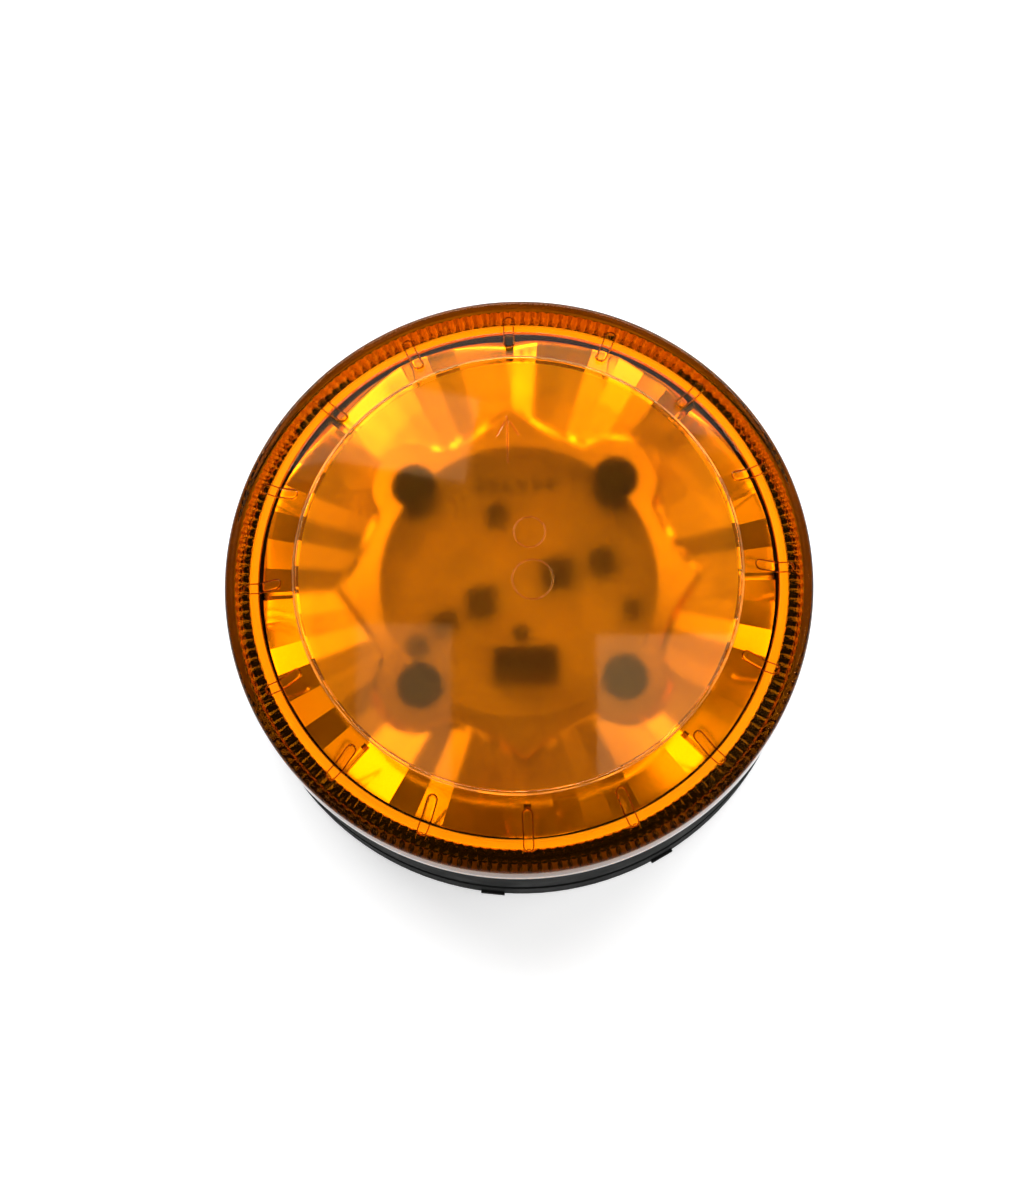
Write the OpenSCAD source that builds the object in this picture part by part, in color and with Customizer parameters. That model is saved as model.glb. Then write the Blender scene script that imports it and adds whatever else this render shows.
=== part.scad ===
// Low-profile amber LED warning beacon for vehicles, fixed mount, 12-24 V.
// Origin: centre of the underside, on the mounting plane. +Z points up through the lens.
// Units are millimetres. The lens turns about Z to free its bayonet from the base.

/* [Overall] */
// Outside radius of the amber lens
lens_r = 72; // [66:0.5:78]
// Overall height above the mounting plane
total_h = 60; // [58:0.5:66]

/* [Lens] */
// Radius of the flat frosted disc on top
disc_r = 54; // [48:0.5:56]
// How far the shoulder falls from the disc to the rim land
shoulder_drop = 8; // [6:0.5:10]
// Inner and outer radius of the bright ring moulded under the land
ring_in_r = 63.8; // [62:0.1:64]
ring_out_r = 65.8; // [65:0.1:66.4]
// Wall thickness of the moulding
lens_wall = 2.6; // [2:0.1:3]
// Radius on the upper outside edge
edge_round = 2; // [1:0.1:2.4]
// Height of the lower edge of the lens
lens_foot_z = 40.4; // [38:0.1:42]
// Number of raised grip ribs across the shoulder
rib_count = 16; // [8:1:24]
// Width of a grip rib
rib_w = 2.4; // [1.6:0.1:3]
// How far a grip rib stands proud
rib_proud = 0.8; // [0.4:0.1:1.2]

/* [Bayonet] */
// Number of bayonet lugs
lug_count = 4; // [3:1:6]
// Angle that one lens lug covers, in degrees
lug_angle = 12; // [8:1:14]
// Turn that frees the lens, in degrees
twist_angle = 15; // [14:1:20]

/* [Base] */
// Outside radius of the base
base_r = 71; // [66:0.5:72]
// Wall thickness of the base
base_wall = 3; // [2.4:0.1:4]
// Thickness of the base floor
floor_t = 3; // [2:0.5:5]
// Side of the square of mounting holes
mount_pitch = 50; // [40:1:56]
// Radius of a mounting hole
mount_hole_r = 2.75; // [2:0.25:3.5]
// Radius of the access well above each mounting hole
well_r = 4.5; // [4:0.1:5]
// Thickness of the foot gasket
gasket_t = 2; // [1:0.5:3]

/* [Light engine] */
// Number of light-emitting diodes and reflector lobes
led_count = 8; // [8:1:8]
// Radius of the circle of diodes
led_ring_r = 52; // [48:0.5:55]
// Outside radius of the reflector
reflector_r = 62.5; // [58:0.1:63]
// Radius of the window in the middle of the reflector
window_r = 34; // [30:0.5:35]
// How far a lobe rises from its valleys to its crest
lobe_rise = 4; // [2:0.5:5]
// Radius of the circuit board
board_r = 60; // [58:0.5:61]

/* [Hidden] */
$fn = 96;
eps = 0.01;
gap = 0.3;
fit = 0.1;

// Levels of the lens
land_z = total_h - shoulder_drop;
lens_in_r = lens_r - lens_wall;
ring_foot_z = land_z - 5;
disc_edge = 0.4;

// Levels of the base and its neck
shoulder_z = lens_foot_z - 0.4;
neck_top_z = ring_foot_z - 0.6;
neck_out_r = 66.5;
neck_in_r = neck_out_r - 2.6;
lug_h = 2;
lens_lug_z = lens_foot_z + 0.8;
neck_lug_z = lens_lug_z + lug_h + gap;
lens_lug_r = neck_out_r + gap + 0.5;
neck_lug_r = lens_in_r - gap;

// Groove round the wall, and the bevel at its foot
groove_z = 13;
groove_h = 4;
groove_d = 1.2;
foot_cut = 1.5;

// Seal groove in the shoulder of the base, under the lens edge
seal_in_r = lens_in_r - 0.1;
seal_out_r = base_r - 0.4;
seal_depth = 1.2;

// Floor, and the pillars and standoffs that stand on it
floor_z = gasket_t + floor_t;
seat_z = floor_z + 1;
seat_r = 7;
pillar_top_z = 33;
pillar_r = 7;
standoff_r = 4.4;

// Stack of plate, pad and board on the pillars
plate_t = 3;
pad_t = 0.6;
board_t = 1.6;
pad_z = pillar_top_z + plate_t;
board_z = pad_z + pad_t;
board_top_z = board_z + board_t;

// Hole for the supply leads, through plate, pad and board
lead_y = -11;
lead_r = 2.5;

// Fasteners: M3 in brass inserts for the plate, M3 from below for the reflector
m3_r = 1.5;
m3_head_r = 2.8;
m3_head_h = 2;
plate_screw_r = 57;
quarters = [0, 90, 180, 270];
corners = [[-1, -1], [1, -1], [1, 1], [-1, 1]];
insert_r = 2.3;
insert_h = 6;
reflector_screw_r = 40;
reflector_boss_r = 3.4;

// Reflector
crest_z = land_z - 2.8;
plateau_z = crest_z - 0.8;
plateau_h = plateau_z - board_top_z;
valley_z = crest_z - lobe_rise;
lobe_step = 360 / led_count;
flutes = 5;
lobe_root_r = 44;
web = 1.6;

// Terminal block on the board
terminal_x = 1;
terminal_y = -21;
terminal_pitch = 5;

// Cable entry and breather
entry_r = 8;
cable_r = 3.5;
entry_lip = 1.5;
flange_z = gasket_t + 2;
flange_h = 2.9;
collar_r = entry_r + 3;
collar_h = 5;
grommet_foot_z = 0.5;
grommet_top_z = gasket_t + 14;
vent_y = -36;
vent_r = 4;

// One corner of the square of mounting holes, counted from 1
module at_mount(i) {
    translate([corners[i - 1][0] * mount_pitch / 2, corners[i - 1][1] * mount_pitch / 2, 0]) children();
}

module at_mounts() {
    for (i = [1:4]) at_mount(i) children();
}

module at_angles(angles, r) {
    for (a = angles) rotate(a) translate([r, 0, 0]) children();
}

// Part of a ring between two radii, centred on +X
module ring_sector(r_in, r_out, h, angle) {
    rotate(-angle / 2)
        rotate_extrude(angle = angle)
            translate([r_in, 0]) square([r_out - r_in, h]);
}

module tube(r_out, r_in, h) {
    difference() {
        cylinder(r = r_out, h = h);
        translate([0, 0, -eps]) cylinder(r = r_in, h = h + 2 * eps);
    }
}

// Pan-head machine screw, head up, seated at z = 0
module pan_screw(r, head_r, head_h, length) {
    difference() {
        union() {
            cylinder(r = head_r, h = head_h - 0.5);
            translate([0, 0, head_h - 0.5 - eps]) cylinder(r1 = head_r, r2 = head_r - 0.6, h = 0.5);
            translate([0, 0, -length]) cylinder(r = r, h = length + eps);
        }
        translate([0, 0, head_h - 1]) cylinder(r = head_r * 0.5, h = 1 + eps, $fn = 6);
    }
}

// ---------------------------------------------------------------- base

// Wall with its shallow groove, the shoulder under the lens edge and the neck inside the lens
module wall_profile() {
    polygon([
        [base_r - base_wall, gasket_t], [base_r - foot_cut, gasket_t], [base_r, gasket_t + foot_cut],
        [base_r, groove_z], [base_r - groove_d, groove_z + 0.8],
        [base_r - groove_d, groove_z + groove_h - 0.8], [base_r, groove_z + groove_h],
        [base_r, shoulder_z - 0.6], [base_r - 0.6, shoulder_z],
        [neck_out_r, shoulder_z], [neck_out_r, neck_top_z], [neck_in_r, neck_top_z],
        [neck_in_r, shoulder_z - base_wall], [base_r - base_wall, shoulder_z - base_wall - 4]]);
}

// Lug that holds the lens down, with a stop post at each end of the lens lug's travel
module neck_lug() {
    post_angle = 1.6;
    post_h = neck_lug_z + lug_h - shoulder_z;
    stop = lug_angle / 2 + 1.8;
    root_r = neck_out_r - 0.5;
    translate([0, 0, neck_lug_z]) ring_sector(root_r, neck_lug_r, lug_h, lug_angle + 2);
    for (a = [-stop, stop + twist_angle])
        rotate(a) translate([0, 0, shoulder_z - eps]) ring_sector(root_r, neck_lug_r, post_h, post_angle);
}

// Rib that catches the foot of the housing against its bracket
module foot_rib() {
    rib_l = 6;
    translate([base_r - 1, -rib_l / 2, gasket_t + 2]) cube([1.6, rib_l, 2.4]);
}

module base_housing() {
    color([0.05, 0.05, 0.05])
    difference() {
        union() {
            rotate_extrude() wall_profile();
            for (k = [0:lug_count - 1]) rotate(45 + k * 360 / lug_count) neck_lug();
            for (a = [262, 298, 82, 118]) rotate(a) foot_rib();
        }
        // Annular groove that takes the lens seal
        translate([0, 0, shoulder_z - seal_depth]) tube(seal_out_r, seal_in_r, seal_depth + 1);
    }
}

module base_floor() {
    color([0.06, 0.06, 0.06])
    difference() {
        union() {
            translate([0, 0, gasket_t]) cylinder(r = base_r - base_wall, h = floor_t);
            at_mounts() translate([0, 0, gasket_t]) cylinder(r = seat_r, h = seat_z - gasket_t);
        }
        at_mounts() translate([0, 0, -eps]) cylinder(r = mount_hole_r, h = total_h);
        entry_cut();
        translate([0, vent_y, -eps]) cylinder(r = vent_r, h = floor_z + 1);
    }
}

// Hole for the cable grommet, with the groove that its flange sits in
module entry_cut() {
    translate([0, 0, -eps]) cylinder(r = entry_r - entry_lip, h = floor_z + collar_h + 1);
    translate([0, 0, flange_z]) cylinder(r = entry_r, h = flange_h + 0.1);
}

// Collar on the floor that holds the grommet upright
module inlet_collar() {
    color([0.06, 0.06, 0.06])
    difference() {
        translate([0, 0, floor_z]) cylinder(r = collar_r, h = collar_h);
        entry_cut();
    }
}

// Pillar round a screw well: it carries the heat plate, and a screw drops down its bore
module mount_pillar(i) {
    color([0.07, 0.07, 0.07])
    at_mount(i) translate([0, 0, seat_z]) tube(pillar_r, well_r + gap, pillar_top_z - seat_z);
}

module plate_standoff(i) {
    color([0.07, 0.07, 0.07])
    rotate(quarters[i - 1]) translate([plate_screw_r, 0, 0]) difference() {
        translate([0, 0, floor_z]) cylinder(r = standoff_r, h = pillar_top_z - floor_z);
        translate([0, 0, pillar_top_z - insert_h - 4]) cylinder(r = insert_r, h = insert_h + 5);
    }
}

module foot_gasket() {
    color([0.09, 0.09, 0.09])
    difference() {
        cylinder(r = base_r - 2, h = gasket_t);
        at_mounts() translate([0, 0, -eps]) cylinder(r = mount_hole_r + 0.6, h = gasket_t + 1);
        translate([0, 0, -eps]) cylinder(r = entry_r + 2, h = gasket_t + 1);
        translate([0, vent_y, -eps]) cylinder(r = vent_r + 2, h = gasket_t + 1);
    }
}

module seal_ring() {
    seal_t = seal_out_r - seal_in_r;
    color([0.04, 0.04, 0.04])
    rotate_extrude()
        translate([seal_in_r, shoulder_z - seal_depth])
            polygon(concat(
                [[0, 0], [seal_t, 0], [seal_t, seal_depth]],
                [for (a = [0:30:180]) [seal_t / 2 * (1 + cos(a)), seal_depth + 0.25 * sin(a)]],
                [[0, seal_depth]]));
}

// ---------------------------------------------------------------- lens

// Outline of the outside, from the axis outwards and down, raised by a margin
function shoulder_outline(up) = [
    [0, total_h + up], [disc_r, total_h + up], [disc_r + disc_edge, total_h - disc_edge * 2 + up],
    [ring_in_r - disc_edge, land_z + up], [ring_out_r, land_z + up]];

module lens_profile() {
    outside = concat(
        shoulder_outline(0),
        [for (a = [90:-15:0])
            [lens_r - edge_round + edge_round * cos(a), land_z - edge_round + edge_round * sin(a)]],
        [[lens_r, lens_foot_z]]);
    inside = [
        [lens_in_r, lens_foot_z], [lens_in_r, land_z - lens_wall],
        [ring_out_r, land_z - lens_wall], [ring_out_r, ring_foot_z],
        [ring_in_r, ring_foot_z], [ring_in_r, land_z - lens_wall + 0.6],
        [disc_r - 0.8, total_h - lens_wall], [0, total_h - lens_wall]];
    polygon(concat(outside, inside));
}

// Upright stadium that marks out one grip rib
module rib_prism() {
    rib_in_r = disc_r + 3.5;
    rib_out_r = ring_out_r + 1.2;
    rib_l = rib_out_r - rib_in_r - rib_w;
    rib_h = shoulder_drop + 4;
    translate([rib_in_r + rib_w / 2, 0, land_z - 1]) {
        cylinder(r = rib_w / 2, h = rib_h);
        translate([0, -rib_w / 2, 0]) cube([rib_l, rib_w, rib_h]);
        translate([rib_l, 0, 0]) cylinder(r = rib_w / 2, h = rib_h);
    }
}

module lens() {
    color([1.0, 0.5, 0.0, 0.8])
    union() {
        rotate_extrude() lens_profile();
        intersection() {
            for (k = [0:rib_count - 1]) rotate(k * 360 / rib_count) rib_prism();
            rotate_extrude()
                polygon(concat(
                    shoulder_outline(rib_proud),
                    [[lens_r - 3, land_z + rib_proud], [lens_r - 3, land_z - 1.2],
                     [ring_out_r - 3, land_z - 1.2], [disc_r + 2, land_z + 4.5], [0, land_z + 4.5]]));
        }
        for (k = [0:lug_count - 1]) rotate(45 + k * 360 / lug_count)
            translate([0, 0, lens_lug_z]) ring_sector(lens_lug_r, lens_in_r + 0.5, lug_h, lug_angle);
    }
}

// ---------------------------------------------------------------- reflector

// Cross-section of one lobe across its width: an arch of flat flutes
module lobe_arch() {
    half_w = (reflector_r + 1) * sin(lobe_step / 2) + 0.5;
    polygon(concat(
        [[-half_w, board_top_z + 1]],
        [for (k = [0:flutes]) let (u = 2 * k / flutes - 1)
            [u * half_w, valley_z + lobe_rise * cos(90 * u)]],
        [[half_w, board_top_z + 1]]));
}

module lobe() {
    intersection() {
        rotate([90, 0, 90]) linear_extrude(reflector_r + 1) lobe_arch();
        translate([0, 0, board_top_z])
            ring_sector(window_r, reflector_r, total_h - board_top_z, lobe_step + 0.02);
    }
}

// Pocket over one diode: its curved roof throws the light outwards
module lobe_pocket() {
    roof_rise = 4.5;
    pocket_r = window_r + 10;
    side_angle = 2.4;
    spring_z = board_top_z + 1;
    rotate(side_angle - lobe_step / 2)
        rotate_extrude(angle = lobe_step - 2 * side_angle)
            polygon(concat(
                [[reflector_r + 2, board_top_z - 1], [pocket_r, board_top_z - 1]],
                [for (a = [0:10:90])
                    [pocket_r + (reflector_r - pocket_r) * (1 - cos(a)), spring_z + roof_rise * sin(a)]],
                [[reflector_r + 2, spring_z + roof_rise]]));
}

module reflector() {
    color([0.95, 0.72, 0.25])
    difference() {
        union() {
            difference() {
                for (k = [0:led_count - 1]) rotate((k + 0.5) * lobe_step) lobe();
                for (k = [0:led_count - 1]) rotate((k + 0.5) * lobe_step) lobe_pocket();
                translate([0, 0, plateau_z]) cylinder(r = lobe_root_r - 3, h = 10);
                // Hollow underside between the window and the lobes
                translate([0, 0, board_top_z - 1])
                    tube(lobe_root_r - 1.5, window_r + web, plateau_h - web + 1);
            }
            translate([0, 0, board_top_z]) {
                at_mounts() cylinder(r = well_r + web, h = plateau_h);
                at_angles(quarters, reflector_screw_r) cylinder(r = reflector_boss_r, h = plateau_h - 0.5);
            }
        }
        at_mounts() translate([0, 0, board_top_z - 1]) cylinder(r = well_r, h = total_h);
        at_angles(quarters, reflector_screw_r)
            translate([0, 0, board_top_z - 1]) cylinder(r = m3_r, h = 8);
    }
}

// ---------------------------------------------------------------- light engine

module stack_holes(well_clear, screw_clear) {
    at_mounts() translate([0, 0, -1]) cylinder(r = well_clear, h = 10);
    at_angles(quarters, plate_screw_r) translate([0, 0, -1]) cylinder(r = screw_clear, h = 10);
    at_angles(quarters, reflector_screw_r) translate([0, 0, -1]) cylinder(r = m3_r + 0.1, h = 10);
}

module circuit_board() {
    color([0.93, 0.93, 0.9])
    translate([0, 0, board_z])
    difference() {
        cylinder(r = board_r, h = board_t);
        stack_holes(well_r + 0.3, m3_head_r + 0.3);
        translate([0, lead_y, -1]) cylinder(r = lead_r, h = 4);
    }
}

module led(i) {
    rotate((i - 0.5) * lobe_step) translate([led_ring_r, 0, board_top_z]) {
        color([0.9, 0.9, 0.88]) translate([-1.75, -1.75, 0]) cube([3.5, 3.5, 0.8]);
        color([1, 0.8, 0.2]) translate([0, 0, 0.8 - eps]) difference() {
            sphere(r = 1.5);
            translate([0, 0, -2]) cube([4, 4, 4], center = true);
        }
    }
}

module thermal_pad() {
    color([0.6, 0.62, 0.65])
    translate([0, 0, pad_z])
    difference() {
        cylinder(r = board_r - 1, h = pad_t);
        stack_holes(well_r + 0.6, m3_head_r + 0.5);
        translate([0, lead_y, -1]) cylinder(r = lead_r + 0.5, h = 4);
    }
}

module heat_plate() {
    color([0.8, 0.81, 0.83])
    translate([0, 0, pillar_top_z])
    difference() {
        cylinder(r = board_r + 1, h = plate_t);
        stack_holes(well_r + 0.3, m3_r + 0.1);
        translate([0, lead_y, -1]) cylinder(r = lead_r + 1, h = 6);
    }
}

module plate_screws() {
    color([0.75, 0.76, 0.78])
    at_angles(quarters, plate_screw_r)
        translate([0, 0, pillar_top_z + plate_t]) pan_screw(m3_r, m3_head_r, m3_head_h, 8);
}

module reflector_screws() {
    color([0.75, 0.76, 0.78])
    at_angles(quarters, reflector_screw_r)
        translate([0, 0, pillar_top_z]) mirror([0, 0, 1]) pan_screw(m3_r, m3_head_r, m3_head_h, 10);
}

module threaded_inserts() {
    color([0.8, 0.65, 0.3])
    at_angles(quarters, plate_screw_r)
        translate([0, 0, pillar_top_z - insert_h]) tube(insert_r, m3_r, insert_h);
}

// A block-shaped package with leads along two sides
module chip(w, d, h, leads) {
    color([0.08, 0.08, 0.09]) translate([-w / 2, -d / 2, 0.2]) cube([w, d, h - 0.2]);
    color([0.8, 0.8, 0.82])
    for (k = [0:leads - 1], s = [-1, 1])
        translate([-w / 2 + (k + 0.5) * w / leads - 0.3, s > 0 ? d / 2 - 0.4 : -d / 2 - 1.2, 0])
            cube([0.6, 1.6, 0.5]);
}

module on_board(x, y, a) {
    translate([x, y, board_top_z]) rotate(a) children();
}

module driver_ic() { on_board(9.8, 4, 0) chip(8, 6.5, 2.2, 6); }
module mosfet_1() { on_board(-18.6, -7.3, 20) chip(6, 4, 2.4, 3); }
module mosfet_2() { on_board(-25.5, -13, 0) chip(5, 3.6, 2.4, 3); }

module inductor() {
    side = 7;
    h = 4;
    on_board(-9.5, -3, 0) {
        color([0.12, 0.12, 0.13]) translate([-side / 2, -side / 2, 0]) cube([side, side, h]);
        color([0.2, 0.2, 0.21]) translate([0, 0, h - eps]) cylinder(r = side * 0.38, h = 0.6);
    }
}

module can_capacitor(r, h) {
    color([0.1, 0.1, 0.1]) translate([-r, -r, 0]) cube([2 * r, 2 * r, 1]);
    color([0.35, 0.35, 0.37]) translate([0, 0, 1 - eps]) cylinder(r = r - 0.2, h = h - 1);
}

module capacitor_1() { on_board(21, 6, 15) can_capacitor(3.2, 6); }
module capacitor_2() { on_board(-4.8, 19, 0) can_capacitor(2.6, 6); }
module diode() { on_board(28, -6, 90) chip(5, 3, 2.2, 1); }

module resistors() {
    color([0.1, 0.1, 0.1])
    for (k = [0:5]) on_board(-9 + k * 3.6, 27, 0) translate([-0.8, -1.6, 0]) cube([1.6, 3.2, 0.6]);
}

module terminal_block() {
    color([0.1, 0.25, 0.12])
    on_board(terminal_x, terminal_y, 180) difference() {
        translate([-8, -5, 0]) cube([16, 8, 9]);
        for (s = [-1, 0, 1]) translate([s * terminal_pitch, -0.8, 2]) {
            cylinder(r = 1.9, h = 10);
            rotate([90, 0, 0]) translate([0, 1, 0]) cylinder(r = 1.5, h = 10);
        }
    }
}

module terminal_screws() {
    color([0.75, 0.76, 0.78])
    for (s = [-1, 0, 1]) on_board(terminal_x + s * terminal_pitch, terminal_y + 0.8, 0)
        translate([0, 0, 5.2]) difference() {
            cylinder(r = 1.75, h = 2.6);
            translate([-2, -0.25, 2]) cube([4, 0.5, 1]);
        }
}

// ---------------------------------------------------------------- entry and breather

module cable_grommet() {
    color([0.07, 0.07, 0.07])
    rotate_extrude()
        polygon([
            [cable_r, grommet_foot_z], [entry_r - entry_lip - fit, grommet_foot_z],
            [entry_r - entry_lip - fit, flange_z], [entry_r - fit, flange_z],
            [entry_r - fit, flange_z + flange_h], [entry_r - entry_lip - fit, flange_z + flange_h],
            [cable_r + 1.6, grommet_top_z], [cable_r, grommet_top_z]]);
}

module vent_plug() {
    color([0.3, 0.3, 0.32])
    translate([0, vent_y, 0]) {
        translate([0, 0, gasket_t - 1]) cylinder(r = vent_r + 1.4, h = 1);
        translate([0, 0, gasket_t - eps]) cylinder(r = vent_r - fit, h = floor_t + 0.8);
    }
}

base_housing();
base_floor();
inlet_collar();
for (i = [1:4]) mount_pillar(i);
for (i = [1:4]) plate_standoff(i);
foot_gasket();
seal_ring();
lens();
reflector();
circuit_board();
for (i = [1:led_count]) led(i);
thermal_pad();
heat_plate();
plate_screws();
reflector_screws();
threaded_inserts();
driver_ic();
mosfet_1();
mosfet_2();
inductor();
capacitor_1();
capacitor_2();
diode();
resistors();
terminal_block();
terminal_screws();
cable_grommet();
vent_plug();
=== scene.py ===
"""Amber LED warning beacon: the looks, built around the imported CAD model."""
import math
import random

import bmesh
import bpy
from mathutils import Matrix, Vector


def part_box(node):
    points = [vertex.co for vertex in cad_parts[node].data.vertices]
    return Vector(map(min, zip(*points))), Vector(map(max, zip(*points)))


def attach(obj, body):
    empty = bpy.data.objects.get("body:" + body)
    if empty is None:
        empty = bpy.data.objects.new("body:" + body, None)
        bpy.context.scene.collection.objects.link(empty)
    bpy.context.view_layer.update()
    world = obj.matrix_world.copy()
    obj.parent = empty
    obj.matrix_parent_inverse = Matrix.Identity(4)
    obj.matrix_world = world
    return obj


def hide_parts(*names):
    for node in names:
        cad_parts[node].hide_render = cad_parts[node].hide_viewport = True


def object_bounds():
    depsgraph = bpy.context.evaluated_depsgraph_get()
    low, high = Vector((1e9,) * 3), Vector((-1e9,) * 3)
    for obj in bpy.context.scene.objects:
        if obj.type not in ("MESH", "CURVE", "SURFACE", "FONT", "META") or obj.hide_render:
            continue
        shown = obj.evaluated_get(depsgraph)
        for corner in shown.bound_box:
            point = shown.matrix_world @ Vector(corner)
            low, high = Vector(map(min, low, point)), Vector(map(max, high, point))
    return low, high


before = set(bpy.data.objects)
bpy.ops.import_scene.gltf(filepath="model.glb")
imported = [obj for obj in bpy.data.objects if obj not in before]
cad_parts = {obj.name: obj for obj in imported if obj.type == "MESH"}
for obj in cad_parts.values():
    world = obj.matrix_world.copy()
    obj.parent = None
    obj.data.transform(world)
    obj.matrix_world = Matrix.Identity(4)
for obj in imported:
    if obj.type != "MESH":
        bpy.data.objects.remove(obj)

CAD_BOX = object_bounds()
MM = 0.001

# ------------------------------------------------------------------ sizes of the cover

LENS_LOW, LENS_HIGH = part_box("lens")

LENS_R = 72 * MM
TOP_Z = LENS_HIGH[2]
LENS_FOOT_Z = LENS_LOW[2]
WALL = 2.6 * MM
LENS_IN_R = LENS_R - WALL
LAND_Z = TOP_Z - 8 * MM
RIM_ROUND = 2 * MM
FOOT_CHAMFER = 0.3 * MM
# The outer wall changes finish at this height above its foot
PLAIN_BAND = 2.8 * MM

DISC_R = 54 * MM
DISC_SINK = 0.12 * MM
# Rounded edge of the disc, as steps outwards and downwards in millimetres
DISC_EDGE = (-0.25, 0), (0, 0.03), (0.2, 0.2), (0.35, 0.45), (0.4, 0.6)
DISC_EDGE_OUT, DISC_EDGE_FALL = 0.4 * MM, 0.6 * MM

RING_IN_R, RING_OUT_R = 63.8 * MM, 65.8 * MM
RING_FOOT_Z = LAND_Z - 5 * MM
RING_ROUND = 0.2 * MM
SHOULDER_END_R = RING_IN_R - 0.4 * MM

FLUTES = 180
FLUTE_DEPTH = 0.4 * MM
PLEAT_DEPTH = 0.2 * MM

RIBS = 16
RIB_W, RIB_PROUD = 2.4 * MM, 0.8 * MM
RIB_IN_R, RIB_OUT_R = DISC_R + 3.5 * MM, RING_OUT_R + 1.2 * MM
RIB_MID_R = 62 * MM
RIB_EDGE = 0.3 * MM
# Distances in from a rib's outline where its mesh has a line, in millimetres
RIB_STEPS = 0, 0.04, 0.12, 0.3, 0.7, 1.2
BEAD_R, BEAD_SIDES = 0.17 * MM, 6
BEND_STEPS, STRAIGHT_STEPS = 12, 6

MARK_FOOT_Z = TOP_Z - DISC_SINK + 0.004 * MM
ARROW_FOOT, ARROW_TIP = (-1.4 * MM, 27.4 * MM), (-1.2 * MM, 38.8 * MM)
ARROW_W = 0.6 * MM
BARB_ACROSS, BARB_BACK, BARB_START = 2.6 * MM, 4.5 * MM, 0.3
# Place and radius of each circle, in millimetres
CIRCLES = (3.2, 9.6, 3.8), (3.5, -2.2, 4.9)
CIRCLE_HALF_W = 0.25

# ------------------------------------------------------------------ sizes of the reflector

REFLECTOR_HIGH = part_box("reflector")[1]
BOARD_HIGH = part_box("circuit_board")[1]

REFLECTOR_R = 63.1 * MM
REFLECTOR_FOOT_Z = BOARD_HIGH[2] + 0.1 * MM
SHELL = 1.4 * MM
LIP = 0.3 * MM
WINDOW_R = 34 * MM
PLATEAU_Z = REFLECTOR_HIGH[2]
PLATEAU_SLOPE = 0.08
PLATEAU_CUSP_R, PLATEAU_SWELL = 38 * MM, 6 * MM

LOBES = 8
LOBE_STEP = 2 * math.pi / LOBES
LOBE_ROOT_R = 40 * MM
LOBE_ROOT_Z = PLATEAU_Z - 1.2 * MM
LOBE_GAP = 1.4 * MM
LOBE_RINGS = 14
LOBE_FALL = 0.9 * MM
LOBE_RISE = 3.2 * MM
FACETS = 7
PLEAT = 0.6 * MM
SLOT_START_R = 55 * MM
SLOT_DEPTH = 3.5 * MM
SLOT_HALF = math.radians(0.9)

MOUNT_PITCH = 50 * MM
WELL_PLACES = [(sx * MOUNT_PITCH / 2, sy * MOUNT_PITCH / 2)
               for sx, sy in ((-1, -1), (1, -1), (1, 1), (-1, 1))]
WELL_R = 4.5 * MM
WELL_WALL = 1.2 * MM
WELL_BOSS_R = 10.5 * MM

rng = random.Random(7)
# How far each facet edge stands up or down from its lobe's arch
PLEATS = [[0 if k in (0, FACETS) else rng.choice((-1, 1)) * PLEAT * rng.uniform(0.5, 1.2)
           for k in range(FACETS + 1)] for lobe in range(LOBES)]


# ------------------------------------------------------------------ mesh helpers


def link(mesh, name):
    """A new object with this mesh, in the scene."""
    obj = bpy.data.objects.new(name, mesh)
    bpy.context.scene.collection.objects.link(obj)
    return obj


def solid(name, verts, faces, material):
    """A new object of one material from its points and faces."""
    mesh = bpy.data.meshes.new(name)
    mesh.from_pydata(verts, [], faces)
    mesh.materials.append(material)
    return link(mesh, name)


def piece(obj, body, slot, *nodes):
    """Rides on a body and stands for CAD nodes, which it hides; the slot is not used."""
    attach(obj, body)
    if nodes:
        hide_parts(*nodes)


def smooth(obj, angle=35):
    """Smooth shading, with edges sharper than the angle kept crisp."""
    for poly in obj.data.polygons:
        poly.use_smooth = True
    obj.data.set_sharp_from_angle(angle=math.radians(angle))


def sweep(name, rows, close, materials, face_finish=None):
    """A shell of quads from rows of points, one row after another round a profile.

    Each row holds one point for each angle, and a row of a single point is a pole. With
    close, the last row joins the first. face_finish picks a face's material by its place."""
    verts, faces, finishes, starts = [], [], [], []
    for row in rows:
        starts.append(len(verts))
        verts.extend(row)
    count = len(rows)
    for i in range(count if close else count - 1):
        a, b = rows[i], rows[(i + 1) % count]
        sa, sb = starts[i], starts[(i + 1) % count]
        n = max(len(a), len(b))
        if n == 1:
            continue
        for k in range(n):
            m = (k + 1) % n
            if len(a) == 1:
                faces.append((sa, sb + k, sb + m))
            elif len(b) == 1:
                faces.append((sa + k, sb, sa + m))
            else:
                faces.append((sa + k, sb + k, sb + m, sa + m))
            finishes.append(face_finish(i, k) if face_finish else 0)
    mesh = bpy.data.meshes.new(name)
    mesh.from_pydata(verts, [], faces)
    for material in materials:
        mesh.materials.append(material)
    for poly, finish in zip(mesh.polygons, finishes):
        poly.material_index = finish
    bm = bmesh.new()
    bm.from_mesh(mesh)
    bmesh.ops.recalc_face_normals(bm, faces=bm.faces)
    bm.to_mesh(mesh)
    bm.free()
    return link(mesh, name)


def polar(r, angle, z):
    return (r * math.cos(angle), r * math.sin(angle), z)


def lathe(name, profile, segments, *materials):
    """A solid of revolution about Z. A radius of 0 is a pole."""
    angles = [2 * math.pi * k / segments for k in range(segments)]
    rows = [[(0, 0, z)] if r == 0 else [polar(r, a, z) for a in angles] for r, z in profile]
    return sweep(name, rows, True, materials)


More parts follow.
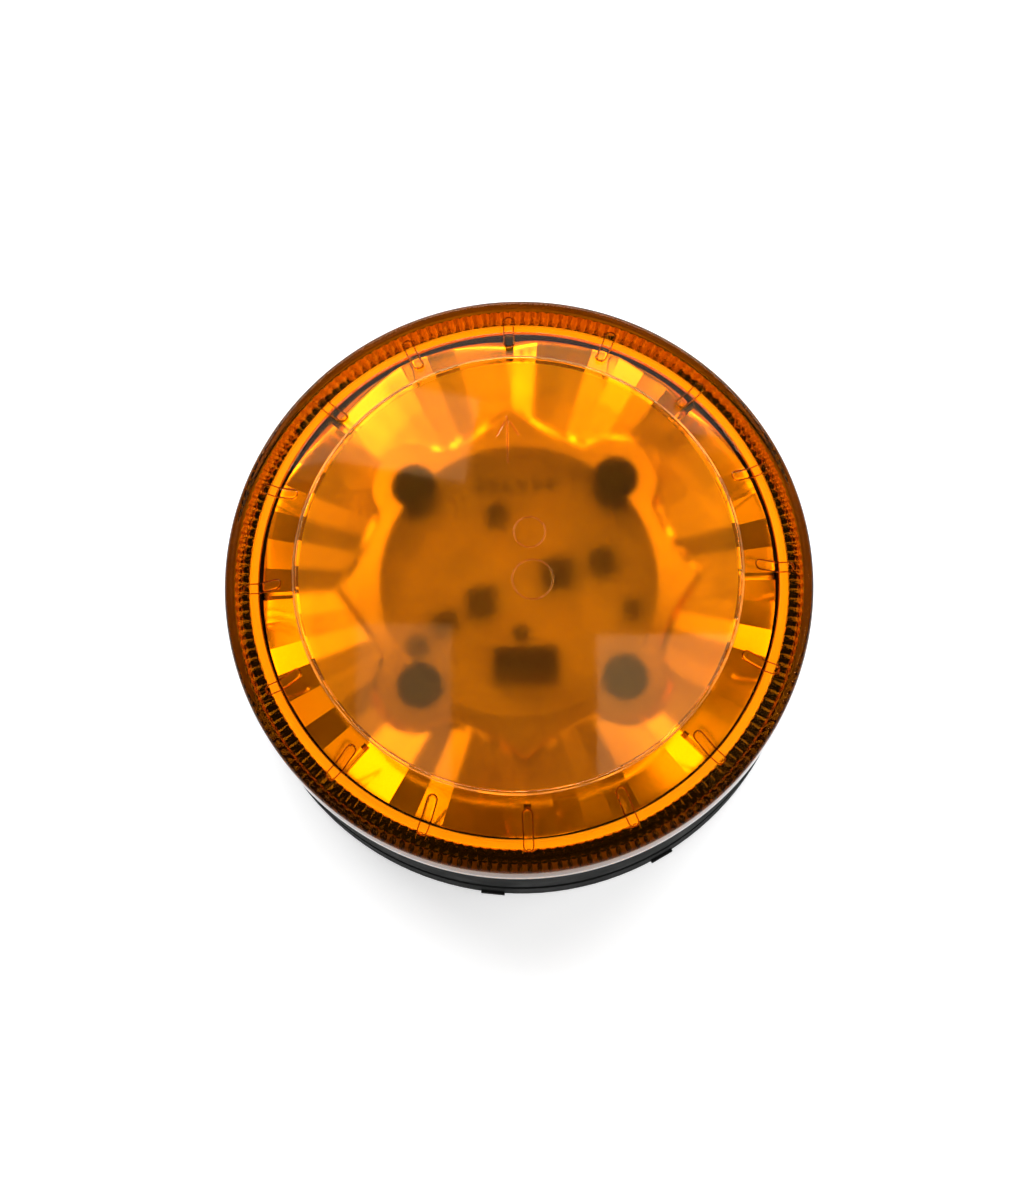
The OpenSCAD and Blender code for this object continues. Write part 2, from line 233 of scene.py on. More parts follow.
def rounded(points, radius, steps=4):
    """The closed profile with each corner rounded."""
    out = []
    for i, corner in enumerate(points):
        p, a, b = Vector(corner), Vector(points[i - 1]), Vector(points[(i + 1) % len(points)])
        cut_back = min(radius, (a - p).length * 0.45, (b - p).length * 0.45)
        start = p + (a - p).normalized() * cut_back
        end = p + (b - p).normalized() * cut_back
        for k in range(steps + 1):
            t = k / steps
            out.append(tuple(start * (1 - t) ** 2 + p * 2 * t * (1 - t) + end * t * t))
    return out


def cut(obj, cutters):
    """Cuts the cutters out of an object and removes them."""
    for cutter in cutters:
        modifier = obj.modifiers.new("cut", "BOOLEAN")
        modifier.operation = "DIFFERENCE"
        modifier.solver = "EXACT"
        modifier.object = cutter
    bpy.context.view_layer.update()
    graph = bpy.context.evaluated_depsgraph_get()
    mesh = bpy.data.meshes.new_from_object(obj.evaluated_get(graph), depsgraph=graph)
    obj.modifiers.clear()
    obj.data = mesh
    for cutter in cutters:
        bpy.data.objects.remove(cutter)


# ------------------------------------------------------------------ materials


def new_material(name, colour, roughness, **sockets):
    """A Principled material; sockets are set on the shader itself."""
    material = bpy.data.materials.new(name)
    material.use_nodes = True
    tree = material.node_tree
    shader = tree.nodes["Principled BSDF"]
    shader.inputs["Base Color"].default_value = (*colour, 1)
    shader.inputs["Roughness"].default_value = roughness
    for socket, value in sockets.items():
        shader.inputs[socket.replace("_", " ")].default_value = value
    return material, tree, shader


def noise(tree, scale, detail=3.0):
    """Noise over the piece's own coordinates, in metres."""
    coords = tree.nodes.new("ShaderNodeTexCoord")
    texture = tree.nodes.new("ShaderNodeTexNoise")
    texture.inputs["Scale"].default_value = scale
    texture.inputs["Detail"].default_value = detail
    tree.links.new(coords.outputs["Object"], texture.inputs["Vector"])
    return texture.outputs["Fac"]


def blend(tree, factor, dark, light):
    """The factor mapped from 0.3..0.7 to a colour between dark and light."""
    node = tree.nodes.new("ShaderNodeValToRGB")
    for element, position, colour in zip(node.color_ramp.elements, (0.3, 0.7), (dark, light)):
        element.position = position
        element.color = (*colour, 1)
    tree.links.new(factor, node.inputs["Fac"])
    return node.outputs["Color"]


def spread(tree, factor, low, high):
    """The factor mapped from 0.3..0.7 to low..high."""
    node = tree.nodes.new("ShaderNodeMapRange")
    node.inputs["From Min"].default_value = 0.3
    node.inputs["From Max"].default_value = 0.7
    node.inputs["To Min"].default_value = low
    node.inputs["To Max"].default_value = high
    tree.links.new(factor, node.inputs["Value"])
    return node.outputs["Result"]


def bump(tree, shader, height, strength, distance):
    """A bump map on the shader."""
    node = tree.nodes.new("ShaderNodeBump")
    node.inputs["Strength"].default_value = strength
    node.inputs["Distance"].default_value = distance
    tree.links.new(height, node.inputs["Height"])
    tree.links.new(node.outputs["Normal"], shader.inputs["Normal"])


def varied(name, dark, light, rough, scale, grain=None, **sockets):
    """A surface whose colour and roughness vary softly, with an optional fine grain.

    rough is a range, scale is the size of the cloud, and grain is scale, strength, depth."""
    material, tree, shader = new_material(name, light, rough[0], **sockets)
    cloud = noise(tree, scale)
    tree.links.new(blend(tree, cloud, dark, light), shader.inputs["Base Color"])
    tree.links.new(spread(tree, cloud, *rough), shader.inputs["Roughness"])
    if grain:
        grain_scale, strength, depth = grain
        bump(tree, shader, noise(tree, grain_scale, 2.0), strength, depth)
    return material


AMBER_IOR = 1.58
# A lower index quiets the glare of the pale floor on the slopes and the rim
SHOULDER_IOR = 1.14
RIM_IOR = 1.2
WHITE_GLINT = 1, 1, 1, 1
AMBER_GLINT = 1.0, 0.62, 0.3, 1.0
SHOULDER_GLINT = 1.0, 0.5, 0.15, 1.0
RIM_GLINT = 1.0, 0.4, 0.15, 1.0
AMBER_CLOUD = 40
MOULD_GRAIN = 900, 0.02, 0.00005
FROST_GRAIN = 5000, 0.12, 0.00003
POLISHED = 0.02, 0.04


def amber(name, tints, rough, grain=MOULD_GRAIN, glint=AMBER_GLINT, ior=AMBER_IOR, **sockets):
    """Amber plastic that light passes through."""
    return varied(name, *tints, rough, AMBER_CLOUD, grain, Transmission_Weight=1.0, IOR=ior,
                  Specular_Tint=glint, **sockets)


# Tints stand for the length of the path through the plastic: deeper where it is longer. The two stripe
# tints are painted light and shade instead
THIN_TINTS = (0.97, 0.44, 0.008), (1.0, 0.5, 0.014)
MARK_TINTS = (0.97, 0.7, 0.25), (1.0, 0.76, 0.3)
# Painted light and shade: these two tints show one side of each inner flute lit and the other shaded
LIT_STRIPE_TINTS = (0.6, 0.15, 0.002), (0.7, 0.18, 0.003)
SHADED_STRIPE_TINTS = (0.4, 0.09, 0.0005), (0.46, 0.11, 0.0008)
WALL_TINTS = (0.4, 0.14, 0.002), (0.46, 0.165, 0.003)
LONG_PATH_TINTS = (0.38, 0.14, 0.002), (0.44, 0.165, 0.003)

AMBER_CLEAR = amber("amber_clear", THIN_TINTS, (0.015, 0.03))
AMBER_SHOULDER = amber("amber_shoulder", THIN_TINTS, (0.015, 0.03), MOULD_GRAIN, SHOULDER_GLINT,
                       SHOULDER_IOR)
AMBER_MARK = amber("amber_mark", MARK_TINTS, (0.05, 0.1))
AMBER_FROSTED = amber("amber_frosted", THIN_TINTS, (0.33, 0.38), FROST_GRAIN)
AMBER_WALL = amber("amber_wall", WALL_TINTS, POLISHED, MOULD_GRAIN, WHITE_GLINT, Coat_Weight=0.3)
# Lit and shaded copies of one amber, painted on alternate half flutes of the inner wall
PAINTED_LIT_STRIPE = amber("painted_lit_stripe", LIT_STRIPE_TINTS, POLISHED)
PAINTED_SHADED_STRIPE = amber("painted_shaded_stripe", SHADED_STRIPE_TINTS, POLISHED)
AMBER_RIM = amber("amber_rim", LONG_PATH_TINTS, (0.04, 0.07), MOULD_GRAIN, RIM_GLINT, RIM_IOR)
AMBER_FOOT = varied("amber_foot", (0.38, 0.18, 0.01), (0.46, 0.23, 0.02), (0.4, 0.5), AMBER_CLOUD)
# Painted light: this band glows though it is no lamp, standing for light the lens pipes down into its
# ring
GLOWING_BAND = varied("glowing_band", (0.9, 0.36, 0.03), (1.0, 0.42, 0.05), (0.5, 0.6), 60,
                   (400, 0.1, 0.0001), Emission_Color=(1.0, 0.5, 0.03, 1.0), Emission_Strength=0.5)

METALLISED = varied("metallised_plastic", (0.86, 0.82, 0.74), (0.97, 0.94, 0.88), (0.13, 0.2), 60,
                    (700, 0.04, 0.0001), Metallic=1.0)
BLACK_PLASTIC = varied("black_plastic", (0.007, 0.0075, 0.007), (0.011, 0.0115, 0.011),
                       (0.45, 0.6), 120, (2600, 0.35, 0.0001), Specular_IOR_Level=0.1, IOR=1.12)
BLACK_RUBBER = varied("black_rubber", (0.01, 0.01, 0.01), (0.02, 0.02, 0.02), (0.7, 0.85), 90,
                      (3000, 0.4, 0.0001))
SOLDER_MASK = varied("white_solder_mask", (0.62, 0.6, 0.52), (0.98, 0.97, 0.93), (0.35, 0.5), 110,
                     (1500, 0.1, 0.00005))
BLACK_EPOXY = varied("black_epoxy", (0.02, 0.02, 0.021), (0.04, 0.04, 0.041), (0.45, 0.6), 600,
                     (4000, 0.3, 0.00005))
BRIGHT_METAL = varied("zinc_plate", (0.5, 0.52, 0.55), (0.72, 0.73, 0.75), (0.25, 0.4), 700,
                      (5000, 0.15, 0.00003), Metallic=1.0)
ALUMINIUM = varied("rolled_aluminium", (0.66, 0.67, 0.69), (0.85, 0.86, 0.88), (0.3, 0.45), 300,
                   (2500, 0.2, 0.00005), Metallic=1.0)
BRASS = varied("turned_brass", (0.6, 0.42, 0.16), (0.83, 0.63, 0.3), (0.25, 0.38), 600,
               (4000, 0.2, 0.00003), Metallic=1.0)
GREY_PAD = varied("gap_filler", (0.35, 0.37, 0.4), (0.5, 0.52, 0.55), (0.6, 0.75), 300,
                  (2500, 0.3, 0.00005))
SILICONE = varied("led_dome", (0.95, 0.5, 0.05), (1.0, 0.62, 0.1), (0.12, 0.2), 900)
PALE_FLOOR = varied("floor_paper", (0.92, 0.92, 0.92), (0.95, 0.95, 0.95), (0.8, 0.9), 8,
                    (300, 0.05, 0.0002), Emission_Color=(1, 1, 1, 1), Emission_Strength=0.42)

# ------------------------------------------------------------------ cover

# A face between two rings of the cover takes the finish that comes first here
# The two stripe finishes paint light and shade on the inner flutes
CLEAR, SHOULDER, FROSTED, OUTER_WALL, RIM, LIT_FLUTE, SHADED_FLUTE, FOOT = range(8)
COVER_MATERIALS = (AMBER_CLEAR, AMBER_SHOULDER, AMBER_FROSTED, AMBER_WALL, AMBER_RIM,
                   PAINTED_LIT_STRIPE, PAINTED_SHADED_STRIPE, AMBER_FOOT)


def shoulder_z(r):
    """Height of the outside of the shoulder: a straight fall from the disc to the land."""
    start, top = DISC_R + DISC_EDGE_OUT, TOP_Z - DISC_EDGE_FALL
    t = min(1, max(0, (r - start) / (SHOULDER_END_R - start)))
    return top + (LAND_Z - top) * t


def rib_height(r, angle):
    """How far a grip rib stands up at a place: a stadium with steep rounded sides."""
    step = 2 * math.pi / RIBS
    across = ((angle + step / 2) % step - step / 2) * RIB_MID_R
    inner, outer = RIB_IN_R + RIB_W / 2, RIB_OUT_R - RIB_W / 2
    beyond = max(inner - r, r - outer, 0)
    inside = RIB_W / 2 - math.hypot(across, beyond)
    if inside <= 0:
        return 0.0
    t = min(1.0, inside / RIB_EDGE)
    return RIB_PROUD * math.sqrt(1 - (1 - t) ** 2)


def cover_angles():
    """Angles round the cover: four to a flute, with more at the sides of each grip rib."""
    half = RIB_W / 2
    offsets = [half - step * MM for step in RIB_STEPS] + [half + 0.15 * MM]
    offsets = sorted({round(side * o / RIB_MID_R, 7) for o in offsets for side in (-1, 1)})
    clearance = offsets[-1] * 1.15
    pitch = 2 * math.pi / RIBS
    flute_step = 2 * math.pi / (FLUTES * 4)
    base = [k * flute_step for k in range(FLUTES * 4)]
    plain_angles = [a for a in base if abs((a + pitch / 2) % pitch - pitch / 2) > clearance]
    rib_angles = [(pitch * k + o) % (2 * math.pi) for k in range(RIBS) for o in offsets]
    return sorted(plain_angles + rib_angles)


def rib_radii():
    """Radii across the shoulder, close together at the ends of the ribs and at its foot."""
    inner = [RIB_IN_R + step * MM for step in (-0.1,) + RIB_STEPS]
    outer = [RIB_OUT_R - step * MM for step in (-0.1,) + RIB_STEPS]
    middle = [inner[-1] + (SHOULDER_END_R - inner[-1]) * k / 4 for k in range(1, 4)]
    foot = [SHOULDER_END_R - 0.15 * MM, SHOULDER_END_R + 0.15 * MM, RING_OUT_R - 0.9 * MM]
    return sorted(inner + middle + foot + outer)


def plain(r, a, z):
    return (r, a, z)


def ribbed(r, a, z):
    return (r, a, z + rib_height(r, a))


def fluted(r, a, z):
    return (r + FLUTE_DEPTH * (abs(math.sin(a * FLUTES / 2)) - 0.35), a, z)


def pleated(r, a, z):
    return (r, a, z + PLEAT_DEPTH * (abs(math.sin(a * FLUTES / 2)) - 0.5))


def outside_rings():
    """Rings of the outside, from the disc to the foot: radius, height, shape and finish."""
    rings = [(DISC_R - inset * MM, TOP_Z - DISC_SINK, plain, CLEAR) for inset in (0.5, 0.4)]
    rings += [(DISC_R + out * MM, TOP_Z - fall * MM, plain, CLEAR) for out, fall in DISC_EDGE]
    rings += [(r, shoulder_z(r), plain, SHOULDER) for r in (DISC_R + 0.6 * MM, DISC_R + 2.6 * MM)]
    rings += [(r, shoulder_z(r), ribbed, SHOULDER) for r in rib_radii()]
    rings.append((LENS_IN_R + 0.1 * MM, LAND_Z, plain, RIM))
    for k in range(9):
        a = math.radians(90 - 90 * k / 8)
        rings.append((LENS_R - RIM_ROUND + RIM_ROUND * math.cos(a),
                      LAND_Z - RIM_ROUND + RIM_ROUND * math.sin(a), plain, RIM))
    rings += [(LENS_R, LENS_FOOT_Z + PLAIN_BAND + 0.1 * MM, plain, RIM),
              (LENS_R, LENS_FOOT_Z + PLAIN_BAND, plain, OUTER_WALL),
              (LENS_R, LENS_FOOT_Z + FOOT_CHAMFER, plain, OUTER_WALL),
              (LENS_R - FOOT_CHAMFER, LENS_FOOT_Z, plain, FOOT)]
    return rings


def inside_rings():
    """Rings of the inside, from the foot over the fluted wall and the ring skirt to the disc."""
    ceiling = LAND_Z - WALL
    rings = [(LENS_IN_R + 0.8 * MM, LENS_FOOT_Z, plain, FOOT)]
    # The fluted wall takes the painted shade, with painted lit stripes on every other half flute
    rings += [(LENS_IN_R, z, fluted, SHADED_FLUTE)
              for z in (LENS_FOOT_Z + 0.2 * MM, (LENS_FOOT_Z + ceiling) / 2, ceiling - 0.1 * MM)]
    rings += [(r, ceiling, pleated, SHADED_FLUTE) for r in (LENS_IN_R - FLUTE_DEPTH, RING_OUT_R + 0.4 * MM)]
    rings += [(r, z, plain, CLEAR) for r, z in (
        (RING_OUT_R + 0.2 * MM, ceiling), (RING_OUT_R, ceiling - 0.3 * MM),
        (RING_OUT_R, RING_FOOT_Z + RING_ROUND), (RING_OUT_R - RING_ROUND, RING_FOOT_Z),
        (RING_IN_R + RING_ROUND, RING_FOOT_Z), (RING_IN_R, RING_FOOT_Z + RING_ROUND),
        (RING_IN_R, ceiling + 0.4 * MM))]
    low = Vector((RING_IN_R, ceiling + 0.6 * MM))
    high = Vector((DISC_R - 0.8 * MM, TOP_Z - WALL))
    rings += [(*low.lerp(high, t), plain, SHOULDER) for t in (0.01, 0.03, 0.5, 0.97, 0.99)]
    rings += [(DISC_R - inset * MM, TOP_Z - WALL, plain, FROSTED) for inset in (0.9, 1.0)]
    return rings


def make_cover():
    """The whole moulding as one closed shell, fluted inside, with painted light and shade: alternate
    half flutes get a lit stripe and the rest a shaded one.
    """
    angles = cover_angles()
    rings = outside_rings() + inside_rings()
    rows = [[(0, 0, TOP_Z - DISC_SINK)]]
    rows += [[polar(*shape(r, a, z)) for a in angles] for r, z, shape, finish in rings]
    rows.append([(0, 0, TOP_Z - WALL)])
    finishes = [CLEAR] + [finish for r, z, shape, finish in rings] + [FROSTED]

    def face_finish(i, k):
        finish = min(finishes[i], finishes[i + 1])
        # Painted light and shade: every other half flute takes the lit stripe, the rest the shaded one
        if finish == SHADED_FLUTE and int(angles[k] * FLUTES / math.pi + 0.5) % 2 == 0:
            return LIT_FLUTE
        return finish

    obj = sweep("lens_moulding", rows, False, COVER_MATERIALS, face_finish)
    smooth(obj, 40)
    piece(obj, "lens_cover", "amber_lens", "lens")


def rib_outline():
    """The stadium round the rib at angle 0, seen from above."""
    half = RIB_W / 2
    inner, outer = RIB_IN_R + half, RIB_OUT_R - half
    outline = []
    for near, far, side in ((outer, inner, 1), (inner, outer, -1)):
        for k in range(BEND_STEPS + 1):
            a = math.pi * (k / BEND_STEPS - 0.5 * side)
            outline.append((near + half * math.cos(a), half * math.sin(a)))
        outline += [(near + (far - near) * k / STRAIGHT_STEPS, half * side)
                    for k in range(1, STRAIGHT_STEPS)]
    return outline


def make_rib_edges():
    """A thin bead round the edge of every grip rib, following the shoulder."""
    verts, faces = [], []
    for rib in range(RIBS):
        turn = Matrix.Rotation(2 * math.pi * rib / RIBS, 3, "Z")
        path = [turn @ Vector((x, y, shoulder_z(math.hypot(x, y)) + RIB_PROUD * 0.9))
                for x, y in rib_outline()]
        first, n = len(verts), len(path)
        for i, p in enumerate(path):
            along = (path[(i + 1) % n] - path[i - 1]).normalized()
            side = along.cross(Vector((0, 0, 1))).normalized()
            up = side.cross(along)
            for j in range(BEAD_SIDES):
                a = 2 * math.pi * j / BEAD_SIDES
                verts.append(p + side * BEAD_R * math.cos(a) + up * BEAD_R * math.sin(a))
        for i in range(n):
            here, there = first + i * BEAD_SIDES, first + (i + 1) % n * BEAD_SIDES
            for j in range(BEAD_SIDES):
                m = (j + 1) % BEAD_SIDES
                faces.append((here + j, there + j, there + m, here + m))
    obj = solid("rib_edges", verts, faces, AMBER_RIM)
    smooth(obj, 80)
    piece(obj, "lens_cover", "amber_lens")


def stroke(verts, faces, start, end):
    """Adds a straight raised stroke of the arrow, with bevelled sides, between two places."""
    along = (Vector(end) - Vector(start)).normalized()
    across = Vector((-along.y, along.x))
    first = len(verts)
    half, top_half = ARROW_W / 2, ARROW_W * 0.32
    for z, reach in ((MARK_FOOT_Z, half), ((MARK_FOOT_Z + TOP_Z) / 2, half), (TOP_Z, top_half)):
        for place, sign in ((Vector(start), -1), (Vector(end), 1)):
            for side in (-sign, sign):
                p = place + along * sign * reach + across * side * reach
                verts.append((p.x, p.y, z))
    low, middle, high = ([first + level * 4 + k for k in range(4)] for level in range(3))
    faces.append(list(reversed(low)))
    for a, b in ((low, middle), (middle, high)):
        faces.extend([a[k], a[(k + 1) % 4], b[(k + 1) % 4], b[k]] for k in range(4))
    faces.append(high)


def make_arrow():
    """Plain moulded arrow on the disc."""
    verts, faces = [], []

    def barb_place(side, t):
        return (ARROW_TIP[0] + side * BARB_ACROSS * t, ARROW_TIP[1] - BARB_BACK * t)

    stroke(verts, faces, ARROW_FOOT, ARROW_TIP)
    for side in (-1, 1):
        stroke(verts, faces, barb_place(side, BARB_START), barb_place(side, 1))
    piece(solid("arrow_mark", verts, faces, AMBER_MARK), "lens_cover", "amber_lens")


def make_circles():
    """Two plain moulded circles on the disc."""
    for i, (x, y, r) in enumerate(CIRCLES):
        inner, outer = (r - CIRCLE_HALF_W) * MM, (r + CIRCLE_HALF_W) * MM
        profile = rounded([(inner, MARK_FOOT_Z), (outer, MARK_FOOT_Z), (outer, TOP_Z),
                           (inner, TOP_Z)], 0.05 * MM, 2)
        obj = lathe(f"circle_mark_{i + 1}", profile, 96, AMBER_MARK)
        obj.data.transform(Matrix.Translation((x * MM, y * MM, 0)))
        smooth(obj)
        piece(obj, "lens_cover", "amber_lens")


def make_glowing_ring():
    """A pale glowing band at the foot of the ring skirt, seen through the land: painted light for the
    light the lens pipes into the ring.
    """
    inner, outer = RING_IN_R + 0.05 * MM, RING_OUT_R - 0.05 * MM
    low, high = RING_FOOT_Z + 0.3 * MM, RING_FOOT_Z + 1.5 * MM
    profile = rounded([(inner, low), (outer, low), (outer, high), (inner, high)], 0.1 * MM, 2)
    obj = lathe("glowing_ring", profile, 360, GLOWING_BAND)
    smooth(obj)
    piece(obj, "lens_cover", "amber_lens")


# ------------------------------------------------------------------ reflector


def plateau_edge(angle):
    """Radius where the middle gives way to the lobes, swelling at the cusps and the wells."""
    place = 2 * ((angle % LOBE_STEP) / LOBE_STEP) - 1
    cusp = PLATEAU_CUSP_R + PLATEAU_SWELL * abs(place) ** 2.2
    quarter = math.pi / 2
    off = (angle % quarter) - quarter / 2
    well = MOUNT_PITCH / math.sqrt(2)
    reach = WELL_BOSS_R ** 2 - (well * math.sin(off)) ** 2
    around = well * math.cos(off) + math.sqrt(reach) if reach > 0 else 0
    return max(cusp, around)


def plateau_z(r):
    """The middle falls gently outwards, so that it catches the windows."""
    return PLATEAU_Z - (r - WINDOW_R) * PLATEAU_SLOPE


def lobe_z(r, angle):
    """Height of the lobes: flat facets fan out from the middle, in an arch over each lobe."""
    lobe = int(angle / LOBE_STEP) % LOBES
    place = (angle % LOBE_STEP) / LOBE_STEP * FACETS
    k = min(FACETS - 1, int(place))
    t = place - k
    arch = [(math.sin(math.pi * i / FACETS) - 1) * LOBE_RISE + PLEATS[lobe][i]
            for i in range(FACETS + 1)]
    s = (r - LOBE_ROOT_R) / (REFLECTOR_R - LOBE_ROOT_R)
    fall = LOBE_FALL * (0.75 * s + 0.25 * s * s)
    return LOBE_ROOT_Z - fall + ((1 - t) * arch[k] + t * arch[k + 1]) * r / REFLECTOR_R


def lobe_place(r, angle):
    """A place on the lobes, sunk where a slot runs along the cusp."""
    slot = min(angle % LOBE_STEP, LOBE_STEP - angle % LOBE_STEP) < SLOT_HALF * 1.01
    return (r, angle, lobe_z(r, angle) - (SLOT_DEPTH if slot and r > SLOT_START_R else 0))


def lobe_angles():
    """Angles round the reflector: on every facet edge, with a narrow slot at each cusp."""
    out = []
    for lobe in range(LOBES):
        base = lobe * LOBE_STEP
        out += [base, base + SLOT_HALF, base + SLOT_HALF * 1.02]
        for i in range(FACETS * 3):
            a = base + LOBE_STEP * i / (FACETS * 3)
            if SLOT_HALF * 1.2 < a - base < LOBE_STEP - SLOT_HALF * 1.2:
                out.append(a)
        out += [base + LOBE_STEP - SLOT_HALF * 1.02, base + LOBE_STEP - SLOT_HALF]
    return out


def reflector_top(angles):
    """Rows of the bright side, from the window outwards: radius, angle and height."""
    top = [[(WINDOW_R, a, PLATEAU_Z - LIP) for a in angles],
           [(WINDOW_R + LIP, a, PLATEAU_Z) for a in angles],
           [(plateau_edge(a) - 0.2 * MM, a, plateau_z(plateau_edge(a))) for a in angles],
           [(plateau_edge(a) + 0.1 * MM, a, plateau_z(plateau_edge(a)) - LIP) for a in angles]]
    for k in range(LOBE_RINGS + 1):
        row = []
        for a in angles:
            start = plateau_edge(a) + LOBE_GAP
            row.append(lobe_place(start + (REFLECTOR_R - 0.25 * MM - start) * k / LOBE_RINGS, a))
        top.append(row)
    top.append([(REFLECTOR_R, a, lobe_place(REFLECTOR_R, a)[2] - LIP) for a in angles])
    return top


def make_reflector():
    """A metallised shell: flat middle, eight fluted lobes, outer skirt and window wall."""
    angles = lobe_angles()
    top = reflector_top(angles)
    rows = [[polar(*place) for place in row] for row in top]
    rows += [[polar(r, a, REFLECTOR_FOOT_Z) for a in angles] for r in (REFLECTOR_R, REFLECTOR_R - SHELL)]
    for row in reversed(top[2:-1]):
        rows.append([polar(min(r, REFLECTOR_R - SHELL), a, z - SHELL) for r, a, z in row])
    rows += [[polar(r, a, z) for a in angles] for r, z in (
        (WINDOW_R + SHELL, PLATEAU_Z - SHELL), (WINDOW_R + SHELL, REFLECTOR_FOOT_Z),
        (WINDOW_R, REFLECTOR_FOOT_Z))]
    obj = sweep("reflector_shell", rows, True, (METALLISED,))
    low, r = REFLECTOR_FOOT_Z - 0.01, WELL_R + 0.4 * MM
    cutters = []
    for x, y in sorted(WELL_PLACES):
        cutter = lathe("cutter", [(0, low), (r, low), (r, TOP_Z), (0, TOP_Z)], 64)
        cutter.location = (x, y, 0)
        cutters.append(cutter)
    cut(obj, cutters)
    smooth(obj, 4)
    piece(obj, "base", "metallised_reflector", "reflector")


def make_wells():
    """Tubes that line the four screw wells, with a rolled rim."""
    low, high = REFLECTOR_FOOT_Z, PLATEAU_Z + 0.25 * MM
    inner, outer = WELL_R, WELL_R + WELL_WALL
    profile = rounded([(inner, low), (inner, high), (outer, high), (outer, low)], 0.4 * MM)
    for i, (x, y) in enumerate(WELL_PLACES):
        obj = lathe(f"well_tube_{i + 1}", profile, 64, BLACK_PLASTIC)
        obj.data.transform(Matrix.Translation((x, y, 0)))
        smooth(obj)
        piece(obj, "base", "black_housing")


# ------------------------------------------------------------------ CAD nodes that stay

NODE_MATERIALS = {
    "base_housing": BLACK_PLASTIC,
    "base_floor": BLACK_PLASTIC,
    "inlet_collar": BLACK_PLASTIC,
    "mount_pillar": BLACK_PLASTIC,
    "plate_standoff": BLACK_PLASTIC,
    "vent_plug": BLACK_PLASTIC,
    "foot_gasket": BLACK_RUBBER,
    "seal_ring": BLACK_RUBBER,
    "cable_grommet": BLACK_RUBBER,
    "circuit_board": SOLDER_MASK,
    "led": SILICONE,
    "thermal_pad": GREY_PAD,
    "heat_plate": ALUMINIUM,
    "plate_screws": BRIGHT_METAL,
    "reflector_screws": BRIGHT_METAL,
    "threaded_inserts": BRASS,
    "terminal_block": BLACK_EPOXY,
    "terminal_screws": BLACK_EPOXY,
    "driver_ic": BLACK_EPOXY,
    "mosfet": BLACK_EPOXY,
    "inductor": BLACK_EPOXY,
    "capacitor": BLACK_EPOXY,
    "diode": BLACK_EPOXY,
    "resistors": BLACK_EPOXY,
}


def dress_nodes():
    """A procedural material on every CAD node that stays; numbered nodes share their stem's."""
    for name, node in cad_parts.items():
        stem = name.rstrip("0123456789").rstrip("_")
        if stem in NODE_MATERIALS:
            node.data.materials.clear()
            node.data.materials.append(NODE_MATERIALS[stem])


# ------------------------------------------------------------------ stage, lights and camera

FLOOR_HALF = 4.0
FLOOR_GAP = 0.0002
LIGHT_DISTANCE = 1.4
WORLD_STRENGTH = 0.17

# The photograph's view: the place it looks at, and the camera's angles and distance from it
VIEW_AIM = Vector((-3.2 * MM, -5.2 * MM, LAND_Z))
VIEW_AZIMUTH, VIEW_ELEVATION, VIEW_ROLL = math.radians(3.0), math.radians(76.65), math.radians(5.26)
VIEW_DISTANCE = 636.8 * MM
FOCAL_LENGTH, SENSOR_WIDTH = 78.5, 36


def make_floor():
    h = FLOOR_HALF
    floor = solid("floor", [(-h, -h, 0), (h, -h, 0), (h, h, 0), (-h, h, 0)], [(0, 1, 2, 3)], PALE_FLOOR)
    floor.location.z = CAD_BOX[0][2] - FLOOR_GAP


def softbox(name, azimuth, elevation, width, height, radiance, tilt=0):
    """A rectangular light seen from the part at this place in the sky, all in degrees.

    Azimuth 0 is +X and 90 is +Y. The power follows from the radiance and the size."""
    a, e = math.radians(azimuth), math.radians(elevation)
    toward = Vector((math.cos(a) * math.cos(e), math.sin(a) * math.cos(e), math.sin(e)))
    data = bpy.data.lights.new(name, "AREA")
    data.shape = "RECTANGLE"
    data.size = 2 * LIGHT_DISTANCE * math.tan(math.radians(width / 2))
    data.size_y = 2 * LIGHT_DISTANCE * math.tan(math.radians(height / 2))
    data.energy = math.pi * radiance * data.size * data.size_y
    light = bpy.data.objects.new(name, data)
    bpy.context.scene.collection.objects.link(light)
    light.location = toward * LIGHT_DISTANCE + Vector((0, 0, LAND_Z))
    turn = toward.to_track_quat("Z", "Y").to_matrix() @ Matrix.Rotation(math.radians(tilt), 3, "Z")
    light.rotation_euler = turn.to_euler()


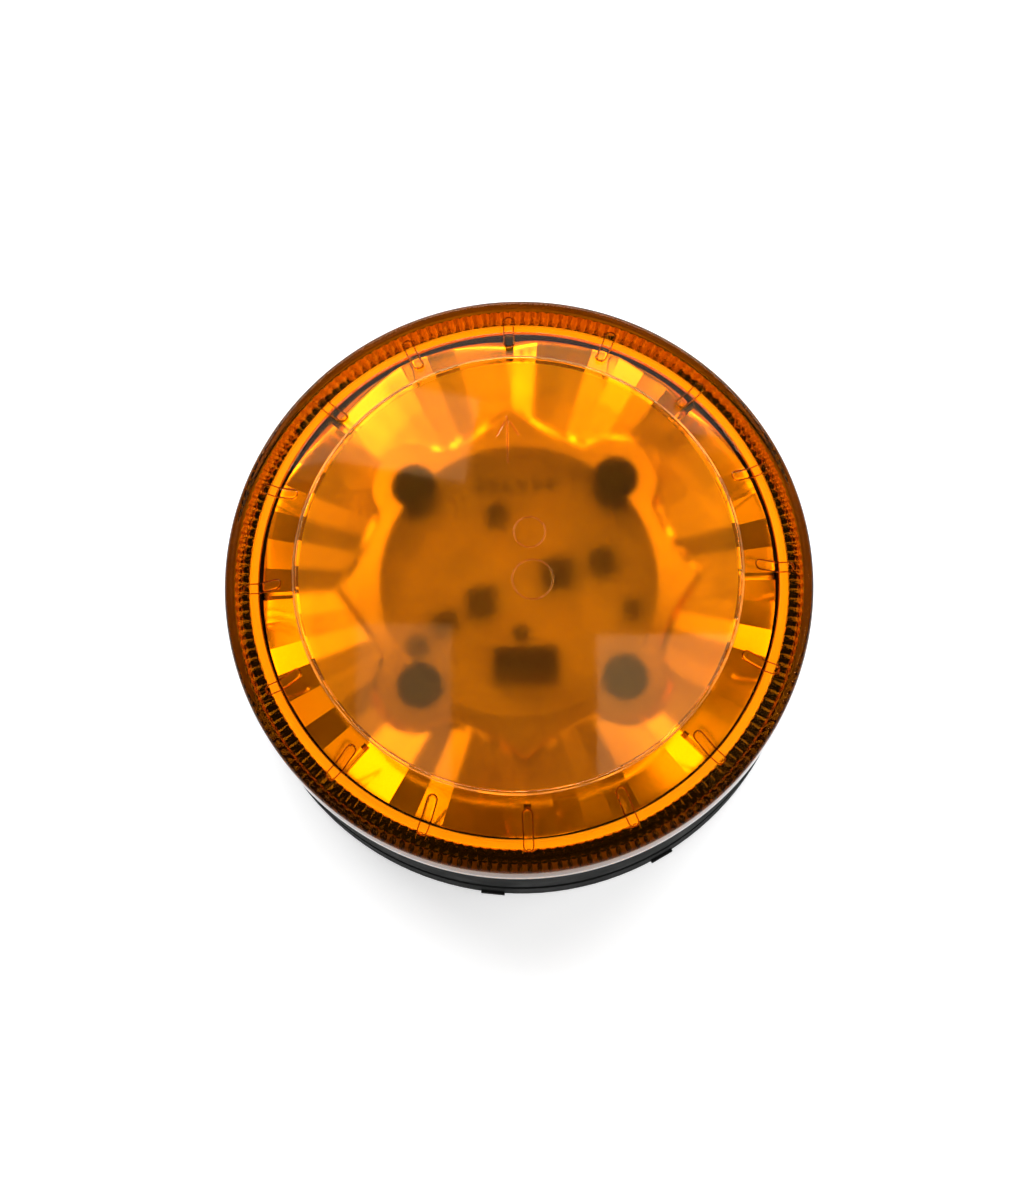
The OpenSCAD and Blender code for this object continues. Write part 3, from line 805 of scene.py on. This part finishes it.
def make_lights():
    """Tall windows for the far lobes, low and high fills, and ceiling lamps mirrored in the disc."""
    softbox("window_west", 137, 53, 17, 30, 4.7)
    softbox("window_north_west", 109, 50, 7, 28, 2.8)
    softbox("window_north_east", 75, 50, 6, 28, 1.7)
    softbox("window_east", 42, 53, 17, 30, 4.2)
    softbox("horizon_north", 90, 14, 100, 20, 12.0)
    softbox("front_south_east", -40, 52, 20, 20, 2.5)
    softbox("front_south_west", -140, 52, 20, 20, 2.5)
    softbox("fill_south", -88, 10, 70, 14, 1.3)
    softbox("overhead_south", -90, 75, 34, 10, 1.0)
    softbox("lamp_east", -2, 43, 30, 2.5, 30)
    softbox("ceiling_east", 62.9, 79.6, 5.6, 4.75, 1.9, 24.8)
    softbox("ceiling_south_west", 113.6, 79.5, 3.0, 5.4, 1.0, -25.9)
    softbox("ceiling_west", 103.3, 70.9, 5.4, 2.7, 1.6, -25)


def make_world():
    """An even white sky."""
    world = bpy.data.worlds.new("studio")
    bpy.context.scene.world = world
    world.use_nodes = True
    background = world.node_tree.nodes["Background"]
    background.inputs["Color"].default_value = (1, 1, 1, 1)
    background.inputs["Strength"].default_value = WORLD_STRENGTH


def make_camera():
    """The photograph's view: nearly overhead, from the front, turned a little."""
    turn = (Matrix.Rotation(VIEW_AZIMUTH, 3, "Z") @ Matrix.Rotation(math.pi / 2 - VIEW_ELEVATION, 3, "X")
            @ Matrix.Rotation(-VIEW_ROLL, 3, "Z"))
    data = bpy.data.cameras.new("camera")
    data.lens = FOCAL_LENGTH
    data.sensor_width = SENSOR_WIDTH
    data.clip_start = 0.01
    camera = bpy.data.objects.new("camera", data)
    bpy.context.scene.collection.objects.link(camera)
    place = VIEW_AIM + turn @ Vector((0, 0, VIEW_DISTANCE))
    camera.matrix_world = Matrix.Translation(place) @ turn.to_4x4()
    bpy.context.scene.camera = camera


make_camera()
make_cover()
make_rib_edges()
make_arrow()
make_circles()
make_glowing_ring()
make_reflector()
make_wells()
dress_nodes()
make_floor()
make_world()
make_lights()
bpy.context.scene.view_settings.view_transform = "Standard"
